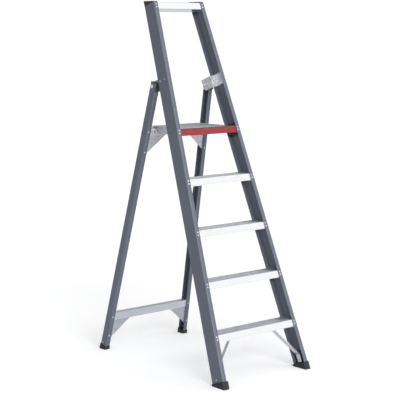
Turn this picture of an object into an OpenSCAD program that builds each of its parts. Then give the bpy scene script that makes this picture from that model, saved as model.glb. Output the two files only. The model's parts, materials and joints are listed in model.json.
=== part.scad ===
// Folding step ladder with a platform and a guard frame.
// +Z is up, +Y points to the rear legs and +X to the climber's right.
// The origin lies on the floor, under the middle of the footprint.

/* [Front frame] */
// Lean of the front stiles from vertical, degrees
stile_lean = 20.4; // [17:0.1:22]
// Inward lean of each stile and leg seen from the front, degrees
side_taper = 3.65; // [2:0.05:4.5]
// Width over the front stiles at floor level
foot_width = 561; // [500:1:640]
// Length of a stile, from floor level to its top
stile_len = 1908; // [1750:1:2100]
// Depth of the stile channel
stile_depth = 79; // [65:1:95]
// Width of the stile flanges
stile_flange = 23; // [20:0.5:28]
// Wall of the stile channel
stile_wall = 2.5; // [2:0.1:3.2]
// Distance from the floor to the stile's cut end
stile_start = 37; // [33:1:50]

/* [Treads] */
// Pitch of the treads along the stile
tread_pitch = 250; // [220:1:270]
// Distance along the stile to the first row of tread rivets
first_row = 239; // [200:1:260]
// Clearance between the rivets and the top wall of a tread
rivet_clear = 1.3; // [0.8:0.1:3]
// Height of a tread section
tread_height = 33; // [29:0.5:40]
// Wall of the tread section
tread_wall = 2.4; // [1.8:0.1:3.2]
// Pitch of the grooves on the tread surface
groove_pitch = 6; // [5:0.5:9]
// Depth of the platform's front tread
platform_tread_depth = 27; // [22:0.5:29]

/* [Top bar] */
// Height of the top bar along the stile
bar_height = 37; // [30:1:45]
// Depth of the top bar
bar_depth = 44; // [38:1:50]
// Distance of the top bar below the stile's end
bar_below = 2; // [1.8:0.1:6]

/* [Rear legs] */
// Lean of the rear legs from vertical, degrees
leg_lean = 13.2; // [10:0.1:15]
// Depth of the leg channel
leg_depth = 43; // [38:1:50]
// Width of the leg flanges
leg_flange = 24.5; // [21:0.5:26]
// Wall of the leg channel
leg_wall = 2.3; // [2:0.1:3]
// Distance from the floor to the leg's cut end
leg_start = 12; // [10:1:20]
// Length of leg above the hinge
leg_over = 19; // [16:1:26]

/* [Hinge] */
// Distance of the hinge axis up the stile
hinge_up = 1511; // [1470:1:1560]
// Distance of the hinge axis behind the stile's front face
hinge_back = 128; // [124:1:136]
// Distance of the hinge axis behind the leg's front face
hinge_in_leg = 27.5; // [24:0.5:30]
// Thickness of the hinge plates
plate_t = 3; // [2.5:0.1:4]
// Height of the hinge plates along the stile
plate_height = 59; // [50:1:70]
// Radius of the hinge bolts
bolt_r = 5; // [4:0.25:6]

/* [Cross members] */
// Height of the lower cross member's top edge up the leg
lower_top = 202; // [180:1:260]
// Height of a cross member
member_height = 40; // [38:1:54]
// Sheet thickness of a cross member
member_t = 2; // [1.5:0.1:3]
// Thickness of the corner gussets
gusset_t = 2; // [1.5:0.1:3]
// Width of a gusset along its cross member, from the leg's flange tip
gusset_width = 112; // [90:1:130]
// Drop of a gusset below its cross member
gusset_drop = 96; // [70:1:110]

/* [Platform] */
// Reach of the deck behind the front line of the rear legs
deck_overhang = 35.6; // [25:0.2:40]
// Distance from the deck's side edge to the stile's outer face
deck_inset = 46.5; // [44:0.5:52]
// Thickness of the deck
deck_t = 3; // [2.5:0.1:4]
// Thickness of the side plates
side_t = 2.5; // [2:0.1:3]
// Radius of the pivot pins and the support pins
pin_r = 5; // [4:0.25:6]

/* [Small parts] */
// Radius of the rivet shanks
rivet_r = 2.4; // [2:0.1:3]
// Radius of the rivet heads
rivet_head_r = 4.2; // [3.5:0.1:5]
// Half distance between the two rivets of a row
rivet_half_gap = 7; // [6:0.5:8]
// Distance of the rivets from the channel's outer face
rivet_in = 13; // [11:0.5:15]
// Width of the brace strips
brace_width = 24; // [18:1:28]
// Thickness of the brace strips
brace_t = 3; // [2:0.5:4]
// Height that a front foot grips up the stile
foot_grip = 3.5; // [3:0.5:10]
// Radial gap between a pin and its bore
pin_fit = 0.05; // [0.02:0.01:0.1]
// Gap between fixed pieces that lie against each other
seat_gap = 0.2; // [0.1:0.05:0.4]
// Radial gap between a rivet and its hole
rivet_fit = 0.05; // [0.02:0.01:0.1]

/* [Hidden] */

steel = [0.72, 0.74, 0.76];
aluminium = [0.84, 0.86, 0.88];
anthracite = [0.30, 0.32, 0.36];
black = [0.13, 0.12, 0.14];
red = [0.68, 0.16, 0.19];

// One tread node for each tread below the platform
tread_count = 4;
// A size beyond the ladder, for cutting away a half space, and a small overrun of a cut
big = 4000;
cut = 0.5;
corner_r = 2.5;
bead_w = 1.2;
groove_depth = 0.8;
groove_w = 2.4;
lip_height = 5;
head_rim = 0.7;
head_dome = 0.9;
tail_len = 1.5;
tail_extra = 0.5;
foot_proud = 2;
foot_side = 3;
foot_inner = 8;

// A place given by depth behind the stile's front face and distance up the frame
function frame_y(n, s) = n * cos(stile_lean) + s * sin(stile_lean);
function frame_z(n, s) = s * cos(stile_lean) - n * sin(stile_lean);
// Half width over the stiles at a distance up the frame
function stile_half(s) = foot_width / 2 - s * tan(side_taper);
// A distance up the frame, measured along the leaning stile instead
function along(s) = s / cos(side_taper);

hinge_y = frame_y(hinge_back, hinge_up);
hinge_z = frame_z(hinge_back, hinge_up);
plate_inner = stile_flange + 1.6;
leg_inset = 1.4;
leg_floor_y = hinge_y - (hinge_in_leg - hinge_z * sin(leg_lean)) / cos(leg_lean);
hinge_up_leg = hinge_z * cos(leg_lean) - (hinge_y - leg_floor_y) * sin(leg_lean);
leg_len = along(hinge_up_leg + leg_over);
leg_foot_half = stile_half(hinge_z / cos(stile_lean)) - leg_inset + hinge_up_leg * tan(side_taper);
function leg_half(s) = leg_foot_half - s * tan(side_taper);
function leg_front_y(z) = leg_floor_y - z * tan(leg_lean);

front_edge = -foot_proud / cos(stile_lean);
rear_edge = leg_floor_y + (leg_depth + foot_proud) / cos(leg_lean);
shift_y = -(front_edge + rear_edge) / 2;

rows = [for (i = [0 : tread_count - 1]) first_row + i * tread_pitch];
platform_row = first_row + tread_count * tread_pitch;
bar_mid = stile_len * cos(side_taper) - bar_height / 2 - bar_below;
wall_n = stile_wall + seat_gap;
rear_n = stile_depth - stile_wall - seat_gap;
row_fix = tread_wall + seat_gap + stile_wall;
// A tread is level, so its rear rivets lie further up the leaning stile
rear_rise = (stile_depth - 2 * row_fix) * tan(stile_lean);
// The standing surface clears the upper rivet's tail by the top wall and its grooves
tread_rise = (rivet_half_gap + rivet_r + tail_extra) * cos(stile_lean) - row_fix * sin(stile_lean)
    + rivet_clear + tread_wall + groove_depth;

deck_top = platform_row * cos(stile_lean) + tread_rise;
deck_half = stile_half(platform_row) - deck_inset;
side_outer = deck_half;
side_flange = 16;
collar_r = pin_r + 3;
collar_gap = 0.5;
pivot_n = 51;
pin_below = 18;
pin_ahead = pin_r + 3;
pivot_z = deck_top - deck_t - side_t - collar_gap - collar_r;
pivot_y = (pivot_n + pivot_z * sin(stile_lean)) / cos(stile_lean);
side_nose = collar_r + 3;
deck_front = pivot_y - side_nose;
deck_length = leg_front_y(deck_top) + deck_overhang - deck_front;
pin_z = deck_top - pin_below;
pin_y = leg_front_y(pin_z) - pin_ahead;
side_round = 17;
notch_gap = 1.5;
notch_depth = 34;
deck_gap = 0.8;
upper_flange = 14;
upper_top = (deck_top - deck_t - deck_gap) / cos(leg_lean)
    - (leg_wall + seat_gap + upper_flange) * tan(leg_lean);
lower_flange = 22;
slot_half = pin_r + 1;
slot_turn = -4;

cap_top = stile_len * cos(side_taper) * cos(stile_lean) + 1.5;
web_rivet_n = 46;
web_rivet_s = 54;
liner_t = 3;
liner_height = 62;
hinge_rivet_s = hinge_up + 6;
hinge_rivet_n = [28, 61];
plate_low = hinge_up - 27;
plate_front = 20;
plate_rear = hinge_back + 20;
block_t = 17;
block_web_t = 6;
block_drop = 29;
block_rise = 36;
boss_front = wall_n + platform_tread_depth + 2;
boss_drop = 16;
boss_rise = 28;

module in_frame() translate([0, shift_y, 0]) children();
module front_plane() in_frame() rotate([-stile_lean, 0, 0]) children();
module rear_plane() in_frame() translate([0, leg_floor_y, 0]) rotate([leg_lean, 0, 0]) children();
module on_side(side) mirror([side < 0 ? 1 : 0, 0, 0]) children();
// Axes of one stile: x = 0 is its outer face and inward is -x, y is depth, z runs up it
module stile_axes(side)
    front_plane() on_side(side) translate([foot_width / 2, 0, 0]) rotate([0, -side_taper, 0]) children();
module leg_axes(side)
    rear_plane() on_side(side) translate([leg_foot_half, 0, 0]) rotate([0, -side_taper, 0]) children();
// Sweeps an outline drawn in depth and height across the width
module across(half) rotate([90, 0, 90]) linear_extrude(2 * half, center = true) children();
// Sweeps an outline drawn in width and height along the depth, from y0 over len
module along_depth(y0, len)
    translate([0, y0 + len, 0]) rotate([90, 0, 0]) linear_extrude(len) children();

module round_box_2d(w, h, r) {
    translate([r, 0]) square([w - 2 * r, h]);
    translate([0, r]) square([w, h - 2 * r]);
    for (x = [r, w - r], y = [r, h - r]) translate([x, y]) circle(r, $fn = 32);
}

module channel_2d(depth, flange, wall) {
    difference() {
        union() {
            translate([-corner_r, corner_r]) square([corner_r, depth - 2 * corner_r]);
            translate([-flange, 0]) square([flange - corner_r, depth]);
            for (y = [corner_r, depth - corner_r])
                translate([-corner_r, y]) circle(corner_r, $fn = 32);
        }
        translate([-flange - cut, wall]) square([flange + cut - wall, depth - 2 * wall]);
        // Two fine beads along the front flange
        for (x = [-flange * 0.2, -flange * 0.85])
            translate([x - bead_w / 2, -cut]) square([bead_w, 2 * cut]);
    }
}

// A blind rivet: its head's seat is at z = 0, the head is below and the shank goes up
module rivet(grip) {
    translate([0, 0, -head_rim]) cylinder(h = head_rim, r = rivet_head_r, $fn = 32);
    translate([0, 0, -head_rim - head_dome])
        cylinder(h = head_dome, r1 = rivet_head_r * 0.55, r2 = rivet_head_r, $fn = 32);
    cylinder(h = grip + tail_len, r = rivet_r, $fn = 32);
    translate([0, 0, grip]) cylinder(h = tail_len, r = rivet_r + tail_extra, $fn = 32);
}
module rivet_hole(len)
    translate([0, 0, -cut]) cylinder(h = len + cut, r = rivet_r + rivet_fit, $fn = 32);

// Places a pair of rivets of one row on the front flange, or on the rear one
module row_pair(s, side, rear = false) {
    seat = rear ? stile_depth : 0;
    mid = along(rear ? s + rear_rise : s);
    stile_axes(side) for (k = [-1, 1])
        translate([-rivet_in, seat, mid + k * rivet_half_gap]) rotate([rear ? 90 : -90, 0, 0]) children();
}

module stile_web_rivet(side, n, s)
    stile_axes(side) translate([0, n, s]) rotate([0, -90, 0]) children();

// Axes of a hinge bolt: z runs outward along it from a distance x off the middle
module hinge_axis(side, x)
    in_frame() on_side(side) translate([x, hinge_y, hinge_z]) rotate([0, 90, 0]) children();

module stile(side) color(anthracite) difference() {
    stile_axes(side) translate([0, 0, stile_start])
        linear_extrude(stile_len - stile_start) channel_2d(stile_depth, stile_flange, stile_wall);
    for (s = rows) {
        row_pair(s, side) rivet_hole(stile_wall + 1);
        row_pair(s, side, true) rivet_hole(stile_wall + 1);
    }
    row_pair(platform_row, side) rivet_hole(stile_wall + 1);
    row_pair(bar_mid, side) rivet_hole(stile_wall + 1);
    stile_web_rivet(side, web_rivet_n, web_rivet_s) rivet_hole(stile_wall + 1);
    for (n = hinge_rivet_n) stile_web_rivet(side, n, hinge_rivet_s) rivet_hole(stile_wall + 1);
    plate_flange_places(side) rivet_hole(stile_wall + 1);
}

// The space between the two stile webs, less a gap at each
module between_webs(gap) {
    x0 = foot_width / 2 - stile_wall / cos(side_taper) - gap;
    top = stile_len;
    front_plane() along_depth(-200, 600)
        polygon([[-x0, 0], [x0, 0], [x0 - top * tan(side_taper), top], [-x0 + top * tan(side_taper), top]]);
}

// A leaning line at depth n behind the stile's front face, as a point at height z
function lean_pt(n, z) = [(n + z * sin(stile_lean)) / cos(stile_lean), z];
function lean_box(n0, n1, z0, z1) = [lean_pt(n0, z0), lean_pt(n1, z0), lean_pt(n1, z1), lean_pt(n0, z1)];

module grooves_2d(y0, y1, z) {
    margin = 4;
    count = floor((y1 - y0 - 2 * margin) / groove_pitch);
    start = (y0 + y1 - (count - 1) * groove_pitch - groove_w) / 2;
    for (i = [0 : count - 1])
        translate([start + i * groove_pitch, z - groove_depth]) square([groove_w, groove_depth + cut]);
}

module tread_2d(s, n1, front_skin = 0) {
    top = s * cos(stile_lean) + tread_rise - front_skin;
    low = s * cos(stile_lean) + tread_rise - tread_height;
    n0 = wall_n + front_skin;
    wall = tread_wall;
    mid = (n0 + n1) / 2;
    difference() {
        polygon(lean_box(n0, n1, low, top));
        polygon(lean_box(n0 + wall, mid - wall / 2, low + wall, top - wall - groove_depth));
        polygon(lean_box(mid + wall / 2, n1 - wall, low + wall, top - wall - groove_depth));
        grooves_2d(lean_pt(n0, top)[0] + 2, lean_pt(n1, top)[0], top);
        // The lower lip of the front face is set back
        polygon(lean_box(n0 - cut, n0 + tread_wall / 2, low - cut, low + lip_height));
    }
}

module tread(i) color(aluminium) difference() {
    intersection() {
        in_frame() across(foot_width / 2) tread_2d(rows[i], rear_n);
        between_webs(seat_gap);
    }
    for (side = [-1, 1]) {
        row_pair(rows[i], side) rivet_hole(row_fix + 1);
        row_pair(rows[i], side, true) rivet_hole(row_fix + 1);
    }
    if (i == 0) for (side = [-1, 1]) brace_top_place(side) rivet_hole(tread_wall + brace_t + 1);
}

// The platform's front tread is set back under a red cover
cover_t = 1.6;
cover_depth = 12;
cover_chamfer = 1.2;
module platform_front_tread() color(aluminium) difference() {
    intersection() {
        in_frame() across(foot_width / 2)
            tread_2d(platform_row, wall_n + platform_tread_depth, cover_t + seat_gap);
        between_webs(seat_gap + block_web_t + seat_gap);
    }
    for (side = [-1, 1]) row_pair(platform_row, side) rivet_hole(row_fix + cover_t + 2);
}

module platform_edge_cover() color(red) {
    top = deck_top;
    low = top - tread_height;
    half = stile_half(platform_row) - stile_flange - 1.5;
    in_frame() across(half) difference() {
        polygon(concat([lean_pt(wall_n + cover_chamfer, low), lean_pt(wall_n, low + cover_chamfer)],
            [lean_pt(wall_n, top - cover_chamfer), lean_pt(wall_n + cover_chamfer, top)],
            [lean_pt(wall_n + cover_depth, top), lean_pt(wall_n + cover_depth, low)]));
        polygon(lean_box(wall_n + cover_t, wall_n + cover_depth + 1, low - cut, top - cover_t));
    }
}

module top_bar() color(aluminium) difference() {
    intersection() {
        front_plane() across(foot_width / 2) translate([wall_n, bar_mid - bar_height / 2]) difference() {
            round_box_2d(bar_depth, bar_height, 3);
            // Two chambers with a wall between them
            chamber = (bar_depth - 3 * tread_wall) / 2;
            for (k = [0, 1])
                translate([tread_wall + k * (chamber + tread_wall), tread_wall])
                    square([chamber, bar_height - 2 * tread_wall]);
        }
        between_webs(seat_gap);
    }
    for (side = [-1, 1]) row_pair(bar_mid, side) rivet_hole(row_fix + 1);
}

// Wedge cap behind the front flange's end, with a plug in the channel behind the top bar
cap_plug = 25;
cap_back = 4;
cap_inset = 2;
module stile_cap(side) color(black) difference() {
    union() {
        stile_axes(side) translate([-stile_flange, cap_back, stile_len])
            cube([stile_flange, stile_depth - cap_back, 60]);
        stile_axes(side)
            translate([-stile_flange + cap_inset, wall_n + bar_depth + 1, stile_len - cap_plug])
                cube([stile_flange - cap_inset - stile_wall - seat_gap,
                    rear_n - wall_n - bar_depth - 1, cap_plug + cut]);
    }
    translate([-big / 2, -big / 2, cap_top]) cube([big, big, 200]);
}

// Moulded shoe with a liner up the inside of the stile, cut level at the floor
foot_deep = 60;
module front_foot(side) color(black) difference() {
    union() {
        stile_axes(side) translate([-stile_flange - foot_inner, -foot_proud, -foot_deep])
            cube([stile_flange + foot_inner + foot_side, stile_depth + 2 * foot_proud,
                foot_deep + stile_start + foot_grip]);
        stile_axes(side) translate([-stile_wall - seat_gap - liner_t, wall_n, stile_start])
            cube([liner_t, rear_n - wall_n, liner_height]);
    }
    translate([-big / 2, -big / 2, -200]) cube([big, big, 200]);
    // Seat for the end of the stile
    stile_axes(side) translate([-stile_flange - seat_gap, -seat_gap, stile_start]) {
        translate([stile_flange - stile_wall, 0, 0])
            cube([stile_wall + 2 * seat_gap, stile_depth + 2 * seat_gap, liner_height]);
        for (y = [0, stile_depth - stile_wall])
            translate([0, y, 0]) cube([stile_flange + 2 * seat_gap, stile_wall + 2 * seat_gap, liner_height]);
    }
    stile_web_rivet(side, web_rivet_n, web_rivet_s) rivet_hole(stile_wall + liner_t + 2);
}

// Braces from the first tread down to the foot of each stile
brace_in = stile_wall + seat_gap + liner_t + seat_gap;
brace_reach = 146;
brace_top_x = stile_half(rows[0]) - brace_reach;
brace_tab = 26;
tread_low = rows[0] * cos(stile_lean) + tread_rise - tread_height;
brace_y = frame_y(web_rivet_n, (tread_low + web_rivet_n * sin(stile_lean)) / cos(stile_lean));

module brace_top_place(side)
    in_frame() on_side(side) translate([brace_top_x, brace_y, tread_low - brace_t]) children();

module tread_brace(side) color(steel) difference() {
    union() {
        intersection() {
            front_plane() on_side(side) along_depth(web_rivet_n - brace_width / 2, brace_width) {
                // A slanting strip from the tread's underside to the tab on the web
                x_top = brace_top_x + brace_tab / 2 - 1;
                s_top = (tread_low + web_rivet_n * sin(stile_lean)) / cos(stile_lean) + 6;
                s_low = web_rivet_s + 32;
                x_low = stile_half(s_low) - brace_in;
                polygon([[x_top - brace_t - 1, s_top], [x_top, s_top], [x_low, s_low],
                    [x_low - brace_t, s_low - 6]]);
            }
            in_frame() translate([-big / 2, -big / 2, 0]) cube([big, big, tread_low]);
        }
        stile_axes(side) translate([-brace_in - brace_t, web_rivet_n - brace_width / 2, web_rivet_s - 11])
            cube([brace_t, brace_width, 43]);
        brace_top_place(side) translate([-brace_tab / 2, -brace_width / 2, 0])
            cube([brace_tab, brace_width, brace_t]);
    }
    stile_web_rivet(side, web_rivet_n, web_rivet_s) rivet_hole(brace_in + brace_t + 1);
    brace_top_place(side) rivet_hole(brace_t + 1);
}

// Joggled plate: flat on the stile's web, across its rear flange, then back to the leg
module hinge_plate(side) color(steel) difference() {
    a0 = stile_wall + seat_gap;
    a1 = a0 + plate_t;
    b0 = plate_inner;
    b1 = b0 + plate_t;
    stile_axes(side) translate([0, 0, plate_low]) linear_extrude(plate_height)
        polygon([[-a0, plate_front], [-a0, rear_n], [-b0, rear_n], [-b0, plate_rear],
            [-b1, plate_rear], [-b1, rear_n - plate_t], [-a1, rear_n - plate_t], [-a1, plate_front]]);
    for (n = hinge_rivet_n) stile_web_rivet(side, n, hinge_rivet_s) rivet_hole(a1 + 1);
    plate_flange_places(side) rivet_hole(stile_wall + plate_t + 2);
    hinge_axis(side, 100) cylinder(h = 150, r = bolt_r + pin_fit, $fn = 48);
    // Lower corner cut off the free end
    stile_axes(side) translate([-b1 - cut, plate_rear - plate_corner, plate_low])
        rotate([-45, 0, 0]) cube([plate_t + 2 * cut, 2 * plate_corner, 2 * plate_corner]);
}
plate_corner = 13;
module plate_flange_places(side)
    stile_axes(side) for (z = [14, 40])
        translate([-rivet_in, stile_depth, plate_low + z]) rotate([90, 0, 0]) children();

module platform_bearing(side) color(black) difference() {
    x0 = stile_wall + seat_gap;
    union() {
        stile_axes(side) translate([-x0 - block_web_t, wall_n, along(platform_row) - block_drop])
            cube([block_web_t, rear_n - wall_n, block_drop + block_rise]);
        // The thicker part behind the front tread carries the pivot
        stile_axes(side) translate([-x0 - block_t, boss_front, along(platform_row) - boss_drop])
            cube([block_t, rear_n - boss_front, boss_drop + boss_rise]);
    }
    in_frame() on_side(side) translate([side_outer, pivot_y, pivot_z]) rotate([0, 90, 0])
        cylinder(h = pin_reach + 1, r = pin_r + pin_fit, $fn = 48);
    row_pair(platform_row, side) rivet_hole(row_fix + cover_t + 4);
}
pin_reach = deck_inset - 10;

module tread_rivets() color(steel)
    for (s = rows, side = [-1, 1], rear = [false, true])
        row_pair(s, side, rear) rivet(row_fix);
module platform_tread_rivets() color(steel)
    for (side = [-1, 1]) row_pair(platform_row, side) rivet(row_fix + cover_t + seat_gap);
module top_bar_rivets() color(steel)
    for (side = [-1, 1]) row_pair(bar_mid, side) rivet(row_fix);
module hinge_plate_rivets() color(steel) for (side = [-1, 1]) {
    for (n = hinge_rivet_n)
        stile_web_rivet(side, n, hinge_rivet_s) rivet(stile_wall + seat_gap + plate_t);
    plate_flange_places(side) rivet(stile_wall + seat_gap + plate_t);
}
module front_foot_rivets() color(steel)
    for (side = [-1, 1]) stile_web_rivet(side, web_rivet_n, web_rivet_s) rivet(brace_in + brace_t);
module brace_rivets() color(steel)
    for (side = [-1, 1]) brace_top_place(side) rivet(brace_t + tread_wall);

// Rear frame
module leg_front_place(side, s, inn)
    leg_axes(side) translate([-inn, 0, s]) rotate([-90, 0, 0]) children();
leg_rivet_in = 11;
leg_foot_rivet_s = leg_start + 18;
leg_foot_rivet_back = 0.68;
member_rivet_drop = 20;
gusset_rivet_rise = 12;
module leg_foot_place(side)
    leg_axes(side) translate([0, leg_depth * leg_foot_rivet_back, leg_foot_rivet_s]) rotate([0, -90, 0]) children();
function member_rivets(top) = [top - member_rivet_drop, gusset_low(top) + gusset_rivet_rise];

module rear_leg(side) color(anthracite) difference() {
    leg_axes(side) translate([0, 0, leg_start])
        linear_extrude(leg_len - leg_start) channel_2d(leg_depth, leg_flange, leg_wall);
    for (top = [lower_top, upper_top], s = member_rivets(top))
        leg_front_place(side, s, leg_rivet_in) rivet_hole(leg_wall + 1);
    leg_foot_place(side) rivet_hole(leg_wall + 1);
    hinge_axis(side, 100) cylinder(h = 150, r = bolt_r + pin_fit, $fn = 48);
}

module between_legs(gap) {
    x0 = leg_foot_half - leg_wall / cos(side_taper) - gap;
    top = leg_len;
    rear_plane() along_depth(-200, 600)
        polygon([[-x0, 0], [x0, 0], [x0 - top * tan(side_taper), top], [-x0 + top * tan(side_taper), top]]);
}

// Pressed angle with a lipped top flange and two fine lines on its face
member_front = leg_wall + seat_gap;
line_in = 9;
line_depth = 0.4;
bottom_flange = 10;
module cross_member(top, flange) color(aluminium) difference() {
    bottom = top - member_height;
    intersection() {
        union() {
            rear_plane() across(foot_width / 2) translate([member_front, bottom]) difference() {
                union() {
                    square([member_t, member_height]);
                    translate([0, member_height - member_t]) square([flange, member_t]);
                    translate([flange - member_t, member_height - lip_height]) square([member_t, lip_height]);
                }
                for (z = [line_in, member_height - line_in])
                    translate([-cut, z]) square([cut + line_depth, 1]);
            }
            // Bottom flange, between the gussets only
            rear_plane() across(gusset_inner(top) - 1)
                translate([member_front, bottom]) square([bottom_flange, member_t]);
        }
        between_legs(seat_gap);
    }
    for (side = [-1, 1]) leg_front_place(side, member_rivets(top)[0], leg_rivet_in) rivet_hole(12);
}

// Corner plate behind a cross member, with a pressed boss where it meets the leg
gusset_below = 8;
boss_r = 7;
function gusset_low(top) = top - member_height - gusset_drop;
function gusset_inner(top) = leg_half(gusset_low(top)) - leg_flange - gusset_width;
module gusset(side, top) color(steel) difference() {
    s_top = top - gusset_below;
    s_bar = top - member_height;
    s_low = gusset_low(top);
    tip = leg_half(s_low) - leg_flange;
    intersection() {
        union() {
            rear_plane() on_side(side) along_depth(member_front + member_t + seat_gap, gusset_t)
                polygon([[gusset_inner(top), s_top], [gusset_inner(top), s_bar], [tip, s_low],
                    [foot_width / 2, s_low], [foot_width / 2, s_top]]);
            leg_front_place(side, member_rivets(top)[1], leg_rivet_in)
                translate([0, 0, member_front]) cylinder(h = member_t + seat_gap + cut, r = boss_r, $fn = 32);
        }
        between_legs(seat_gap);
    }
    for (s = member_rivets(top)) leg_front_place(side, s, leg_rivet_in) rivet_hole(12);
    if (top == upper_top) {
        bracket_rivet_places(side) rivet_hole(12);
        side_notches();
    }
}
// Notches that the platform's side plates pass through
module side_notches()
    rear_plane() for (side = [-1, 1]) on_side(side)
        translate([side_outer - side_t - notch_gap, 0, upper_top - notch_depth])
            cube([side_t + 2 * notch_gap, 30, notch_depth + 2 * cut]);

module upper_cross_member() color(aluminium) difference() {
    cross_member(upper_top, upper_flange);
    for (side = [-1, 1]) bracket_rivet_places(side) rivet_hole(12);
    side_notches();
}

// Plastic cap: a plug in the end of the leg, a lid, and a lip down its front
cap_lid = 3;
cap_lip = 38;
cap_lip_t = 5;
leg_plug = 8;
module leg_cap(side) color(black) difference() {
    width = leg_flange - 1;
    inside = leg_wall + seat_gap;
    leg_axes(side) {
        translate([-width, -cap_lip_t, leg_len]) cube([width, leg_depth + cap_lip_t, cap_lid]);
        translate([-width, -cap_lip_t, leg_len - cap_lip])
            cube([width, cap_lip_t - seat_gap, cap_lip + cut]);
        translate([-width, inside, leg_len - leg_plug])
            cube([width - inside, leg_depth - 2 * inside, leg_plug + cut]);
    }
    hinge_axis(side, 100) cylinder(h = 150, r = spacer_r + 1, $fn = 48);
}

rear_foot_deep = 30;
rear_foot_grip = 8;
rear_liner = 34;
module rear_foot(side) color(black) difference() {
    union() {
        leg_axes(side) translate([-leg_flange - foot_side, -foot_proud, -rear_foot_deep])
            cube([leg_flange + 2 * foot_side, leg_depth + 2 * foot_proud,
                rear_foot_deep + leg_start + rear_foot_grip]);
        leg_axes(side) translate([-leg_wall - seat_gap - liner_t, leg_wall + seat_gap, leg_start])
            cube([liner_t, leg_depth - 2 * leg_wall - 2 * seat_gap, rear_liner]);
    }
    translate([-big / 2, -big / 2, -200]) cube([big, big, 200]);
    leg_axes(side) translate([-leg_flange - seat_gap, -seat_gap, leg_start]) {
        translate([leg_flange - leg_wall, 0, 0])
            cube([leg_wall + 2 * seat_gap, leg_depth + 2 * seat_gap, rear_liner]);
        for (y = [0, leg_depth - leg_wall])
            translate([0, y, 0]) cube([leg_flange + 2 * seat_gap, leg_wall + 2 * seat_gap, rear_liner]);
    }
    leg_foot_place(side) rivet_hole(leg_wall + liner_t + 2);
}

module cross_member_rivets() color(steel)
    for (side = [-1, 1], top = [lower_top, upper_top], s = member_rivets(top))
        leg_front_place(side, s, leg_rivet_in) rivet(member_front + member_t + seat_gap + gusset_t);
module rear_foot_rivets() color(steel)
    for (side = [-1, 1]) leg_foot_place(side) rivet(leg_wall + seat_gap + liner_t);

// Hinge bolts run along X through the leg's web, a spacer and the hinge plate
leg_out_x = leg_half(hinge_up_leg);
plate_x = stile_half(hinge_up) - plate_inner;
plate_back_x = plate_x - plate_t;
hinge_gap = 1.2;
spacer_r = bolt_r + 4;
spacer_in = plate_x + hinge_gap;
spacer_out = leg_out_x - leg_wall - hinge_gap;
washer_t = 1.6;
washer_r = 2 * bolt_r;
nut_t = 7.6;
nut_gap = 0.4;
nut_r = bolt_r * 1.84;
bolt_end = 12;
bolt_flange = 2;
bolt_dome = 3;

module ring(h, r) difference() {
    cylinder(h = h, r = r, $fn = 48);
    translate([0, 0, -cut]) cylinder(h = h + 2 * cut, r = bolt_r + pin_fit, $fn = 48);
}
module hinge_bolts() color(steel) for (side = [-1, 1]) {
    hinge_axis(side, plate_back_x - bolt_end)
        cylinder(h = leg_out_x + 1 + cut - plate_back_x + bolt_end, r = bolt_r, $fn = 48);
    hinge_axis(side, leg_out_x + 1) cylinder(h = bolt_flange, r = washer_r, $fn = 48);
    hinge_axis(side, leg_out_x + 1 + bolt_flange)
        cylinder(h = bolt_dome, r1 = washer_r - 1, r2 = washer_r * 0.55, $fn = 48);
}
module hinge_spacers() color(black) for (side = [-1, 1])
    hinge_axis(side, spacer_in) ring(spacer_out - spacer_in, spacer_r);
module hinge_washers() color(steel) for (side = [-1, 1])
    hinge_axis(side, plate_back_x - hinge_gap - washer_t) ring(washer_t, washer_r);
module hinge_nuts() color(steel) for (side = [-1, 1])
    hinge_axis(side, plate_back_x - hinge_gap - washer_t - nut_gap - nut_t) difference() {
        cylinder(h = nut_t, r = nut_r, $fn = 6);
        translate([0, 0, -cut]) cylinder(h = nut_t + 2 * cut, r = bolt_r + pin_fit, $fn = 48);
    }

// Brackets on the upper cross member carry the pins under the platform's sides
bracket_x = side_outer + 5;
bracket_t = 2.5;
bracket_r = 2 * pin_r;
pin_head_t = 2;
bracket_rivet_x = bracket_x + bracket_t + pin_head_t + seat_gap + rivet_head_r;
bracket_foot_w = bracket_rivet_x + rivet_head_r + cut - bracket_x;
module support_brackets() color(steel) for (side = [-1, 1]) difference() {
    in_frame() on_side(side) union() {
        translate([bracket_x, pin_y, pin_z - bracket_r])
            cube([bracket_t, pin_ahead + 10, 2 * bracket_r]);
        translate([bracket_x, pin_y, pin_z]) rotate([0, 90, 0])
            cylinder(h = bracket_t, r = bracket_r, $fn = 48);
        bracket_foot();
    }
    in_frame() on_side(side) translate([bracket_x - cut, pin_y, pin_z]) rotate([0, 90, 0])
        cylinder(h = bracket_t + 2 * cut, r = pin_r + pin_fit, $fn = 48);
    bracket_rivet_places(side) rivet_hole(12);
    rear_plane() translate([-big / 2, member_front - seat_gap / 2, 0]) cube([big, 200, big]);
}
// The part of the bracket that lies on the cross member
foot_below = 22;
bracket_rivet_s = [upper_top - 16, upper_top - 29];
module bracket_foot() intersection() {
    translate([0, 0, pin_z - foot_below])
        cube([bracket_x + bracket_foot_w, big, foot_below + bracket_r]);
    translate([0, leg_floor_y, 0]) rotate([leg_lean, 0, 0])
        translate([bracket_x, member_front - seat_gap / 2 - bracket_t, 0])
            cube([bracket_foot_w, bracket_t, big]);
}
module bracket_rivet_places(side)
    rear_plane() on_side(side) for (s = bracket_rivet_s)
        translate([bracket_rivet_x, member_front - bracket_t - seat_gap / 2, s])
            rotate([-90, 0, 0]) children();
module support_pins() color(steel) for (side = [-1, 1]) {
    inner = side_outer - side_t - 5;
    in_frame() on_side(side) translate([inner, pin_y, pin_z]) rotate([0, 90, 0]) {
        cylinder(h = bracket_x + bracket_t - inner, r = pin_r, $fn = 48);
        translate([0, 0, bracket_x + bracket_t - inner]) cylinder(h = pin_head_t, r = pin_r + 2, $fn = 48);
    }
}
module bracket_rivets() color(steel) for (side = [-1, 1])
    bracket_rivet_places(side) rivet(bracket_t + member_t + gusset_t + 1.5 * seat_gap);

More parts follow.
